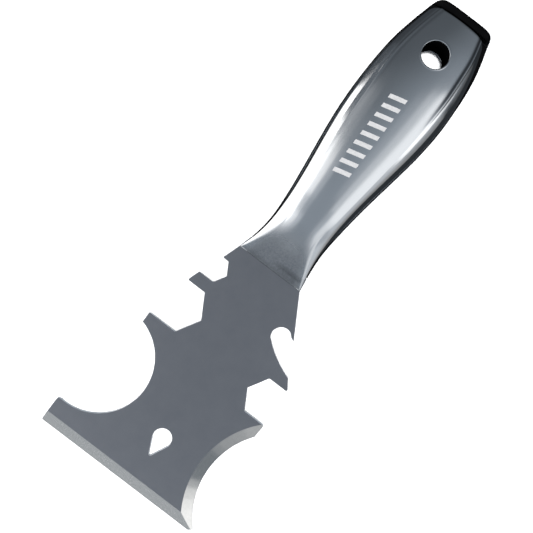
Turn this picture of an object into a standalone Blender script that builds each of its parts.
"""Painters multi tool: a flat steel blade with a two-shell handle riveted over its tang.

Every outline is drawn in millimetres in the tool's own plane: X to the right, Y from the
scraper edge to the butt, Z out of the front face.  One empty carries all pieces and puts
the middle of the tool at the world origin, in metres.
"""

import math

import bmesh
import bpy

MM = 0.001

# Whole tool
OVERALL_LENGTH = 214.4
EDGE_HALF_WIDTH = 35.0
GAP = 0.3

# Blade
BLADE_HALF_THICKNESS = 0.9
EDGE_LAND = 0.3
BEVEL_WIDTH = 4.2
ROLLER_CENTRE = (-32.0, 31.6)
ROLLER_RADIUS = 21.0
SCOOP_CENTRE = (58.0, 23.6)
SCOOP_RADIUS = 32.0
SCOOP_BEVEL_WIDTH = 4.15
BELLY_CENTRE = (39.8, 103.9)
BELLY_RADIUS = 37.5
OPENER_CENTRE = (17.8, 78.4)
OPENER_RADIUS = 4.0
PULLER_CENTRE = (5.2, 21.8)
PULLER_RADIUS = 3.74
PULLER_HALF_ANGLE = 25.8
PULLER_TIP_RADIUS = 0.6
WRENCH_LARGE = 18.3
WRENCH_MEDIUM = 15.3
WRENCH_SMALL = 9.5
CORNER_RADIUS = 0.5

# Tang inside the handle
HANDLE_START = 96.2
SHOULDER_LEFT = -13.9
SHOULDER_RIGHT = 12.1
TANG_HALF_WIDTH = 8.0
TANG_SHOULDER = 101.6
TANG_END = 178.0

# Handle: (y, left, right, half thickness, crease inset) at the stations that shape it
STATIONS = (
    (96.2, -15.35, 12.90, 2.2, 1.2),
    (103.0, -13.40, 11.90, 3.4, 2.4),
    (111.0, -12.35, 11.20, 5.4, 4.2),
    (121.0, -12.80, 11.85, 7.4, 3.6),
    (133.5, -14.20, 13.28, 8.7, 3.5),
    (147.0, -16.05, 15.38, 9.3, 4.0),
    (160.4, -17.50, 17.45, 9.7, 4.7),
    (177.0, -17.90, 18.60, 9.8, 4.9),
    (190.0, -17.25, 17.95, 9.4, 4.4),
    (201.0, -15.35, 16.30, 8.7, 3.6),
    (212.0, -12.65, 13.05, 7.5, 3.2),
)
SHOULDER_SHARE = 0.80
FLANK_SWEEP = math.radians(70.0)

# Shells, cores and the trim at the butt
SHELL_THICKNESS = 0.7
SHELL_RIM_HEIGHT = 1.5
SHELL_SETBACK = 0.5
SETBACK_START = 97.0
SETBACK_END = 104.0
SHELL_END = 210.6
CORE_START = 101.9
CORE_END = 210.3
CORE_SPLIT = 0.15
FLANGE_HEIGHT = 1.15
CAP_START = 210.9
CAP_TAPER = 0.33
CAP_TOP_TAPER = 0.15
CAP_RADIUS_LEFT = 3.0
CAP_RADIUS_RIGHT = 2.2
CAP_RADIUS_TOP = 2.0
CAP_RINGS = 7
SPIGOT_HALF_WIDTH = 5.0
SPIGOT_HALF_THICKNESS = 3.0
SPIGOT_START = 204.5

# Hanging hole and rivets
HOLE_CENTRE = (-0.4, 194.6)
HOLE_RADIUS = 5.6
BUSH_INNER_RADIUS = 5.2
BUSH_OUTER_RADIUS = 6.5
BUSH_HALF_LENGTH = 6.9
RIVET_YS = (118.0, 145.0, 170.0)
RIVET_RADIUS = 2.0
RIVET_HEAD_RADIUS = 3.4
RIVET_HEAD_HEIGHT = 1.0
RIVET_COVER = 1.6


def clear_scene():
    """Start from an empty scene."""
    for item in list(bpy.data.objects):
        bpy.data.objects.remove(item, do_unlink=True)


def make_collection(name):
    """A new collection in the scene."""
    collection = bpy.data.collections.new(name)
    bpy.context.scene.collection.children.link(collection)
    return collection


def make_material(name, colour, roughness, metallic):
    """A plain Principled BSDF material."""
    material = bpy.data.materials.new(name)
    material.use_nodes = True
    shader = material.node_tree.nodes["Principled BSDF"]
    shader.inputs["Base Color"].default_value = (*colour, 1.0)
    shader.inputs["Roughness"].default_value = roughness
    shader.inputs["Metallic"].default_value = metallic
    return material


def blade_steel():
    """Satin ground tool steel."""
    return make_material("blade_steel", (0.13, 0.145, 0.165), 0.42, 1.0)


def polished_steel():
    """Polished stainless of the handle shells."""
    return make_material("polished_steel", (0.30, 0.32, 0.36), 0.16, 1.0)


def black_nylon():
    """Black moulded nylon."""
    return make_material("black_nylon", (0.012, 0.012, 0.014), 0.45, 0.0)


def rivet_steel():
    """Plain rivet steel."""
    return make_material("rivet_steel", (0.45, 0.45, 0.46), 0.35, 1.0)


def add_object(name, mesh, collection, parent, material=None):
    """Link a mesh as a named object under the tool's empty."""
    item = bpy.data.objects.new(name, mesh)
    collection.objects.link(item)
    item.parent = parent
    if material is not None:
        mesh.materials.append(material)
    return item


def shade_round(item):
    """Smooth shading that keeps the real edges sharp."""
    item.data.shade_smooth()
    item.data.set_sharp_from_angle(angle=math.radians(35.0))


# ---------------------------------------------------------------- outlines

def arc_points(centre, radius, start, end, count):
    """Points along an arc from start to end, in degrees, both ends included."""
    points = []
    for index in range(count + 1):
        angle = math.radians(start + (end - start) * index / count)
        points.append((centre[0] + radius * math.cos(angle), centre[1] + radius * math.sin(angle)))
    return points


def angle_to(centre, point):
    """Direction from a centre to a point, in degrees."""
    return math.degrees(math.atan2(point[1] - centre[1], point[0] - centre[0]))


def round_corner(before, corner, after, radius, steps=3):
    """The tangent arc that replaces one corner."""
    to_before = (before[0] - corner[0], before[1] - corner[1])
    to_after = (after[0] - corner[0], after[1] - corner[1])
    length_before = math.hypot(*to_before)
    length_after = math.hypot(*to_after)
    unit_before = (to_before[0] / length_before, to_before[1] / length_before)
    unit_after = (to_after[0] / length_after, to_after[1] / length_after)
    cosine = unit_before[0] * unit_after[0] + unit_before[1] * unit_after[1]
    half_angle = math.acos(max(-1.0, min(1.0, cosine))) / 2.0
    reach = min(radius / math.tan(half_angle), 0.45 * length_before, 0.45 * length_after)
    start = (corner[0] + unit_before[0] * reach, corner[1] + unit_before[1] * reach)
    end = (corner[0] + unit_after[0] * reach, corner[1] + unit_after[1] * reach)
    points = []
    for index in range(steps + 1):
        share = index / steps
        first = (1.0 - share) ** 2
        middle = 2.0 * share * (1.0 - share)
        last = share ** 2
        points.append((
            first * start[0] + middle * corner[0] + last * end[0],
            first * start[1] + middle * corner[1] + last * end[1],
        ))
    return points


def rounded_outline(corners):
    """A closed outline from (x, y) points and (x, y, radius) corners."""
    outline = []
    for index, corner in enumerate(corners):
        if len(corner) == 2:
            outline.append(corner)
            continue
        before = corners[index - 1]
        after = corners[(index + 1) % len(corners)]
        outline.extend(round_corner(before, corner, after, corner[2]))
    return outline


def hex_notch(wall_x, middle_y, across_flats, inward):
    """Inner corners of an open wrench notch: wall, apex, wall, in order of rising Y."""
    half = across_flats / 2.0
    apex_x = wall_x + inward * half * math.tan(math.radians(30.0))
    return [
        (wall_x, middle_y - half, CORNER_RADIUS),
        (apex_x, middle_y, CORNER_RADIUS),
        (wall_x, middle_y + half, CORNER_RADIUS),
    ]


def blade_left_side():
    """Left side from the scraper edge up to the handle: roller arc and two wrench notches."""
    points = [(-EDGE_HALF_WIDTH, 0.0), (-EDGE_HALF_WIDTH, 10.5, 0.8)]
    points += arc_points(ROLLER_CENTRE, ROLLER_RADIUS, -94.0, 76.0, 40)
    points.append((-27.1, 56.3, CORNER_RADIUS))
    points += hex_notch(-15.1, 65.45, WRENCH_LARGE, 1.0)
    points += [(-23.1, 74.6, CORNER_RADIUS), (-21.5, 79.6, CORNER_RADIUS)]
    points += hex_notch(-15.0, 84.35, WRENCH_SMALL, 1.0)
    points.append((-17.7, 89.1, CORNER_RADIUS))
    points.append((-15.35, HANDLE_START))
    return points


def tang():
    """The tang inside the handle, from the left shoulder round to the right one."""
    points = [(SHOULDER_LEFT, TANG_SHOULDER), (-TANG_HALF_WIDTH, TANG_SHOULDER)]
    points += arc_points((0.0, TANG_END), TANG_HALF_WIDTH, 180.0, 0.0, 12)
    points += [(TANG_HALF_WIDTH, TANG_SHOULDER), (SHOULDER_RIGHT, TANG_SHOULDER)]
    return points


def blade_right_side():
    """Right side from the handle down to the tip: opener hook, wrench notch, sharpened scoop."""
    points = [(12.9, HANDLE_START), (22.5, 79.9, CORNER_RADIUS), (20.9, 80.7)]
    points += arc_points(OPENER_CENTRE, OPENER_RADIUS, 65.0, 219.0, 12)
    start = angle_to(BELLY_CENTRE, (14.9, 75.9))
    end = angle_to(BELLY_CENTRE, (29.0, 68.0))
    points += arc_points(BELLY_CENTRE, BELLY_RADIUS, start, end, 8)
    points += [(31.6, 64.3, CORNER_RADIUS), (31.3, 63.7)]
    points += reversed(hex_notch(23.5, 56.05, WRENCH_MEDIUM, -1.0))
    points.append((32.5, 48.4, CORNER_RADIUS))
    start = angle_to(SCOOP_CENTRE, (32.5, 42.8)) % 360.0
    end = 180.0 + math.degrees(math.acos((SCOOP_CENTRE[0] - EDGE_HALF_WIDTH) / SCOOP_RADIUS))
    points += arc_points(SCOOP_CENTRE, SCOOP_RADIUS, start, end, 32)
    points.append((33.6, 0.0))
    return points


def puller_hole():
    """Teardrop nail-puller hole with its point towards the scraper edge."""
    apex_y = PULLER_CENTRE[1] - PULLER_RADIUS / math.sin(math.radians(PULLER_HALF_ANGLE))
    points = arc_points(PULLER_CENTRE, PULLER_RADIUS, -PULLER_HALF_ANGLE, 180.0 + PULLER_HALF_ANGLE, 24)
    points.append((PULLER_CENTRE[0], apex_y, PULLER_TIP_RADIUS))
    return rounded_outline(points)


def extruded_outline(name, outlines, half_thickness, collection, parent, material=None):
    """A flat plate with holes: a filled 2D curve, extruded and welded into one mesh."""
    curve = bpy.data.curves.new(name + "_outline", "CURVE")
    curve.dimensions = "2D"
    curve.fill_mode = "BOTH"
    curve.extrude = half_thickness * MM
    for outline in outlines:
        spline = curve.splines.new("POLY")
        spline.points.add(len(outline) - 1)
        for point, (x, y) in zip(spline.points, outline):
            point.co = (x * MM, y * MM, 0.0, 1.0)
        spline.use_cyclic_u = True
    source = bpy.data.objects.new(name + "_outline", curve)
    bpy.context.scene.collection.objects.link(source)
    graph = bpy.context.evaluated_depsgraph_get()
    mesh = bpy.data.meshes.new_from_object(source.evaluated_get(graph))
    mesh.name = name
    shape = bmesh.new()
    shape.from_mesh(mesh)
    bmesh.ops.remove_doubles(shape, verts=shape.verts, dist=0.00001)
    bmesh.ops.recalc_face_normals(shape, faces=shape.faces)
    shape.to_mesh(mesh)
    shape.free()
    plate = add_object(name, mesh, collection, parent, material)
    plate.matrix_basis = source.matrix_world
    bpy.data.objects.remove(source, do_unlink=True)
    return plate


# ---------------------------------------------------------------- cutters

def cut(item, cutter):
    """Take a cutter out of an object."""
    modifier = item.modifiers.new("cut_" + cutter.name, "BOOLEAN")
    modifier.operation = "DIFFERENCE"
    modifier.solver = "EXACT"
    modifier.object = cutter


def add_cutter(name, shape, collection, parent):
    """A hidden wire object that only cuts."""
    mesh = bpy.data.meshes.new(name)
    shape.to_mesh(mesh)
    shape.free()
    cutter = add_object(name, mesh, collection, parent)
    cutter.hide_render = True
    cutter.display_type = "WIRE"
    return cutter


def cone_cutter(name, centre, bottom, top, radii, collection, parent, segments=32):
    """A cylinder or cone along Z, from bottom to top."""
    shape = bmesh.new()
    bmesh.ops.create_cone(
        shape, cap_ends=True, segments=segments, depth=(top - bottom) * MM,
        radius1=radii[0] * MM, radius2=radii[1] * MM,
    )
    cutter = add_cutter(name, shape, collection, parent)
    cutter.location = (centre[0] * MM, centre[1] * MM, (bottom + top) / 2.0 * MM)
    return cutter


def box_cutter(name, low, high, collection, parent):
    """A box between two corners."""
    shape = bmesh.new()
    bmesh.ops.create_cube(shape, size=1.0)
    size = [(high[axis] - low[axis]) * MM for axis in range(3)]
    bmesh.ops.scale(shape, vec=size, verts=shape.verts)
    cutter = add_cutter(name, shape, collection, parent)
    cutter.location = [(high[axis] + low[axis]) / 2.0 * MM for axis in range(3)]
    return cutter


def edge_bevel_cutter(collection, parent):
    """A slanted box that grinds the front of the scraper edge down to its land."""
    edge_z = EDGE_LAND - BLADE_HALF_THICKNESS
    slope = math.atan2(BLADE_HALF_THICKNESS - edge_z, BEVEL_WIDTH)
    shape = bmesh.new()
    bmesh.ops.create_cube(shape, size=1.0)
    bmesh.ops.scale(shape, vec=(0.1, 0.03, 0.01), verts=shape.verts)
    bmesh.ops.translate(shape, vec=(0.0, 0.0, 0.005), verts=shape.verts)
    cutter = add_cutter("edge_bevel_cutter", shape, collection, parent)
    cutter.rotation_euler = (slope, 0.0, 0.0)
    cutter.location = (0.0, 0.0, edge_z * MM)
    return cutter


def scoop_bevel_cutter(collection, parent):
    """A cone that grinds the front of the concave edge to the same land."""
    edge_z = EDGE_LAND - BLADE_HALF_THICKNESS
    slope = SCOOP_BEVEL_WIDTH / (BLADE_HALF_THICKNESS - edge_z)
    bottom = edge_z - 0.2
    top = BLADE_HALF_THICKNESS + 1.0
    radii = (SCOOP_RADIUS - 0.2 * slope, SCOOP_RADIUS + (top - edge_z) * slope)
    return cone_cutter(
        "scoop_bevel_cutter", SCOOP_CENTRE, bottom, top, radii, collection, parent, segments=144,
    )


# ---------------------------------------------------------------- handle sections

def along(y, column):
    """A station value at any Y, by a smooth cubic through the stations."""
    stations = STATIONS
    index = 0
    while index < len(stations) - 2 and y > stations[index + 1][0]:
        index += 1

    def slope(at):
        low = max(at - 1, 0)
        high = min(at + 1, len(stations) - 1)
        rise = stations[high][column] - stations[low][column]
        return rise / (stations[high][0] - stations[low][0])

    start = stations[index]
    end = stations[index + 1]
    span = end[0] - start[0]
    share = (y - start[0]) / span
    square = share * share
    cube = square * share
    return (
        (2.0 * cube - 3.0 * square + 1.0) * start[column]
        + (cube - 2.0 * square + share) * span * slope(index)
        + (3.0 * square - 2.0 * cube) * end[column]
        + (cube - square) * span * slope(index + 1)
    )


def section(y, side_inset, top_inset, rim, flank_steps=4, panel_steps=6):
    """Front half of the handle's section at Y, from the left rim to the right one."""
    left = along(y, 1) + side_inset
    right = along(y, 2) - side_inset
    top = along(y, 3) - top_inset
    crease_inset = along(y, 4)
    crease_z = rim + SHOULDER_SHARE * (top - rim)

    def flank(edge_x, inward):
        points = []
        for index in range(flank_steps):
            sweep = FLANK_SWEEP * index / flank_steps
            run = crease_inset * (1.0 - math.cos(sweep)) / (1.0 - math.cos(FLANK_SWEEP))
            rise = (crease_z - rim) * math.sin(sweep) / math.sin(FLANK_SWEEP)
            points.append((edge_x + inward * run, rim + rise))
        return points

    middle = (left + right) / 2.0
    panel_half = (right - left) / 2.0 - crease_inset
    panel = []
    for index in range(panel_steps + 1):
        across = 2.0 * index / panel_steps - 1.0
        panel.append((middle + across * panel_half, crease_z + (top - crease_z) * (1.0 - across ** 2)))
    return flank(left, 1.0) + panel + list(reversed(flank(right, -1.0)))


def shell_setback(y):
    """How far the shell's rim stands inside the black flange: nothing at the blade."""
    share = max(0.0, min(1.0, (y - SETBACK_START) / (SETBACK_END - SETBACK_START)))
    return SHELL_SETBACK * share * share * (3.0 - 2.0 * share)


def stations_between(start, end, count):
    """Evenly spaced Y values, closer together over the neck."""
    ys = []
    for index in range(count + 1):
        share = index / count
        ys.append(start + (end - start) * (0.75 * share + 0.25 * share * share))
    return ys


def loft(rows, side, closed, capped):
    """A mesh through rows of (x, y, z) points; side -1 mirrors it to the back."""
    shape = bmesh.new()
    grid = []
    for row in rows:
        grid.append([shape.verts.new((x * MM, y * MM, side * z * MM)) for x, y, z in row])
    width = len(rows[0])
    columns = width if closed else width - 1
    for low, high in zip(grid, grid[1:]):
        for column in range(columns):
            after = (column + 1) % width
            face = [low[column], high[column], high[after], low[after]]
            shape.faces.new(face if side < 0 else face[::-1])
    if capped:
        shape.faces.new(grid[0])
        shape.faces.new(grid[-1])
        bmesh.ops.recalc_face_normals(shape, faces=shape.faces)
    return shape


# ---------------------------------------------------------------- pieces

def make_blade(parts, cutters, parent):
    """One flat steel plate: blade and tang, with both sharpened edges ground on the front."""
    outline = rounded_outline(blade_left_side() + tang() + blade_right_side())
    holes = [puller_hole()]
    for y in RIVET_YS:
        holes.append(arc_points((0.0, y), RIVET_RADIUS + GAP, 0.0, 345.0, 23))
    blade = extruded_outline(
        "blade", [outline] + holes, BLADE_HALF_THICKNESS, parts, parent, blade_steel(),
    )
    cut(blade, edge_bevel_cutter(cutters, parent))
    cut(blade, scoop_bevel_cutter(cutters, parent))
    return blade


def make_shell(name, side, material, hole, parts, parent):
    """A stamped shell: the lofted outer face, thickened inwards, with the hanging hole."""
    rows = []
    for y in stations_between(HANDLE_START, SHELL_END, 20):
        points = section(y, shell_setback(y), 0.0, SHELL_RIM_HEIGHT)
        rows.append([(x, y, z) for x, z in points])
    shape = loft(rows, side, closed=False, capped=False)
    mesh = bpy.data.meshes.new(name)
    shape.to_mesh(mesh)
    shape.free()
    shell = add_object(name, mesh, parts, parent, material)
    shade_round(shell)
    thickness = shell.modifiers.new("sheet", "SOLIDIFY")
    thickness.thickness = SHELL_THICKNESS * MM
    thickness.offset = -1.0
    cut(shell, hole)
    return shell


def core_section(y):
    """Closed section of a core half: flange at the seam and the body under the shell."""
    left = along(y, 1)
    right = along(y, 2)
    side_inset = SHELL_SETBACK + SHELL_THICKNESS + GAP + 0.15
    body = section(y, side_inset, SHELL_THICKNESS + GAP + 0.15, FLANGE_HEIGHT, 3, 4)
    points = [(left, CORE_SPLIT), (left, FLANGE_HEIGHT)] + body
    points += [(right, FLANGE_HEIGHT), (right, CORE_SPLIT)]
    return [(x, y, z) for x, z in points]


def make_core(name, side, material, pockets, parts, parent):
    """Half of the moulded core, hollowed for the tang, the rivets and the bush."""
    rows = [core_section(y) for y in stations_between(CORE_START, CORE_END, 16)]
    shape = loft(rows, side, closed=True, capped=True)
    mesh = bpy.data.meshes.new(name)
    shape.to_mesh(mesh)
    shape.free()
    core = add_object(name, mesh, parts, parent, material)
    shade_round(core)
    for pocket in pockets:
        cut(core, pocket)
    return core


def rivet_half_length(y):
    """Half the length of a rivet that stays under the shell."""
    return along(y, 3) - SHELL_THICKNESS - RIVET_COVER


def core_pockets(cutters, parent):
    """Everything that is hollowed out of both core halves."""
    slot_half = BLADE_HALF_THICKNESS + GAP
    tang_half = TANG_HALF_WIDTH + GAP + 0.1
    pocket_outline = [(-tang_half, HANDLE_START)]
    pocket_outline += arc_points((0.0, TANG_END), tang_half, 180.0, 0.0, 12)
    pocket_outline.append((tang_half, HANDLE_START))
    tang_pocket = extruded_outline("tang_pocket", [pocket_outline], slot_half, cutters, parent)
    tang_pocket.hide_render = True
    tang_pocket.display_type = "WIRE"
    bore_radius = BUSH_OUTER_RADIUS + GAP
    pockets = [
        tang_pocket,
        cone_cutter("bush_bore", HOLE_CENTRE, -20.0, 20.0, (bore_radius,) * 2, cutters, parent),
        box_cutter(
            "spigot_socket",
            (-SPIGOT_HALF_WIDTH - GAP, SPIGOT_START - GAP, -SPIGOT_HALF_THICKNESS - GAP),
            (SPIGOT_HALF_WIDTH + GAP, CORE_END + 5.0, SPIGOT_HALF_THICKNESS + GAP),
            cutters, parent,
        ),
    ]
    for number, y in enumerate(RIVET_YS, 1):
        shank = (RIVET_RADIUS + GAP,) * 2
        head = (RIVET_HEAD_RADIUS + GAP,) * 2
        head_start = rivet_half_length(y) - RIVET_HEAD_HEIGHT - GAP
        place = (0.0, y)
        names = ["rivet_bore_%d", "rivet_front_seat_%d", "rivet_back_seat_%d"]
        spans = [(-20.0, 20.0, shank), (head_start, 20.0, head), (-20.0, -head_start, head)]
        for label, (bottom, top, radii) in zip(names, spans):
            pockets.append(cone_cutter(label % number, place, bottom, top, radii, cutters, parent, 24))
    return pockets


def turned(name, profile, closed, place, steps, parts, parent, material):
    """A turned piece: a profile in the XZ plane, run round Z by a Screw modifier."""
    mesh = bpy.data.meshes.new(name)
    verts = [(x * MM, 0.0, z * MM) for x, z in profile]
    edges = [(index, index + 1) for index in range(len(verts) - 1)]
    if closed:
        edges.append((len(verts) - 1, 0))
    mesh.from_pydata(verts, edges, [])
    item = add_object(name, mesh, parts, parent, material)
    item.location = (place[0] * MM, place[1] * MM, 0.0)
    screw = item.modifiers.new("turn", "SCREW")
    screw.steps = steps
    screw.render_steps = steps
    screw.use_merge_vertices = True
    screw.merge_threshold = 0.00001
    screw.use_smooth_shade = True
    return item


def make_bush(material, parts, parent):
    """The black tube that lines the hanging hole."""
    profile = [
        (BUSH_OUTER_RADIUS, BUSH_HALF_LENGTH),
        (BUSH_OUTER_RADIUS, -BUSH_HALF_LENGTH),
        (BUSH_INNER_RADIUS, -BUSH_HALF_LENGTH),
        (BUSH_INNER_RADIUS, BUSH_HALF_LENGTH),
    ]
    return turned("hang_hole_bush", profile, True, HOLE_CENTRE, 32, parts, parent, material)


def make_rivets(material, parts, parent):
    """Three rivets that clamp the cores on the tang, hidden under the shells."""
    for number, y in enumerate(RIVET_YS, 1):
        half = rivet_half_length(y)
        neck = half - RIVET_HEAD_HEIGHT
        profile = [
            (0.0, half),
            (RIVET_HEAD_RADIUS, half),
            (RIVET_HEAD_RADIUS, neck),
            (RIVET_RADIUS, neck),
            (RIVET_RADIUS, -neck),
            (RIVET_HEAD_RADIUS, -neck),
            (RIVET_HEAD_RADIUS, -half),
            (0.0, -half),
        ]
        turned("tang_rivet_%d" % number, profile, False, (0.0, y), 20, parts, parent, material)


def cap_inset(beyond, radius, taper):
    """How far a side of the cap falls in: a straight taper, then a round corner."""
    corner_start = OVERALL_LENGTH - CAP_START - radius
    into = max(0.0, beyond - corner_start)
    return taper * beyond + radius - math.sqrt(max(0.0, radius ** 2 - into ** 2))


def cap_ring(share):
    """Closed section of the butt cap; share runs from 0 at the shells to 1 at the end face."""
    beyond = (OVERALL_LENGTH - CAP_START) * math.sin(share * math.pi / 2.0)
    base = section(CAP_START, 0.0, 0.0, 0.0)
    start_left = base[0][0]
    start_right = base[-1][0]
    start_top = max(z for x, z in base)
    left = start_left + cap_inset(beyond, CAP_RADIUS_LEFT, CAP_TAPER)
    right = start_right - cap_inset(beyond, CAP_RADIUS_RIGHT, CAP_TAPER)
    height = 1.0 - cap_inset(beyond, CAP_RADIUS_TOP, CAP_TOP_TAPER) / start_top
    front = []
    for x, z in base:
        across = (x - start_left) / (start_right - start_left)
        front.append((left + (right - left) * across, CAP_START + beyond, z * height))
    back = [(x, y, -z) for x, y, z in reversed(front[1:-1])]
    return front + back


def make_butt_cap(material, parts, cutters, parent):
    """The black end cap, with a spigot that sits in the cores."""
    rings = [cap_ring(index / (CAP_RINGS - 1)) for index in range(CAP_RINGS)]
    shape = loft(rings, 1.0, closed=True, capped=True)
    mesh = bpy.data.meshes.new("butt_cap")
    shape.to_mesh(mesh)
    shape.free()
    cap = add_object("butt_cap", mesh, parts, parent, material)
    shade_round(cap)
    spigot = box_cutter(
        "cap_spigot",
        (-SPIGOT_HALF_WIDTH, SPIGOT_START, -SPIGOT_HALF_THICKNESS),
        (SPIGOT_HALF_WIDTH, CAP_START + 2.0, SPIGOT_HALF_THICKNESS),
        cutters, parent,
    )
    join = cap.modifiers.new("spigot", "BOOLEAN")
    join.operation = "UNION"
    join.solver = "EXACT"
    join.object = spigot
    return cap


def main():
    """Build the whole tool."""
    clear_scene()
    parts = make_collection("painters_multi_tool")
    cutters = make_collection("cutters")
    frame = bpy.data.objects.new("tool_frame", None)
    frame.location = (0.0, -OVERALL_LENGTH / 2.0 * MM, 0.0)
    parts.objects.link(frame)
    steel = polished_steel()
    nylon = black_nylon()
    make_blade(parts, cutters, frame)
    hole = cone_cutter("hanging_hole", HOLE_CENTRE, -20.0, 20.0, (HOLE_RADIUS,) * 2, cutters, frame)
    make_shell("front_shell", 1.0, steel, hole, parts, frame)
    make_shell("back_shell", -1.0, steel, hole, parts, frame)
    pockets = core_pockets(cutters, frame)
    make_core("front_core", 1.0, nylon, pockets, parts, frame)
    make_core("back_core", -1.0, nylon, pockets, parts, frame)
    make_butt_cap(nylon, parts, cutters, frame)
    make_bush(nylon, parts, frame)
    make_rivets(rivet_steel(), parts, frame)


main()
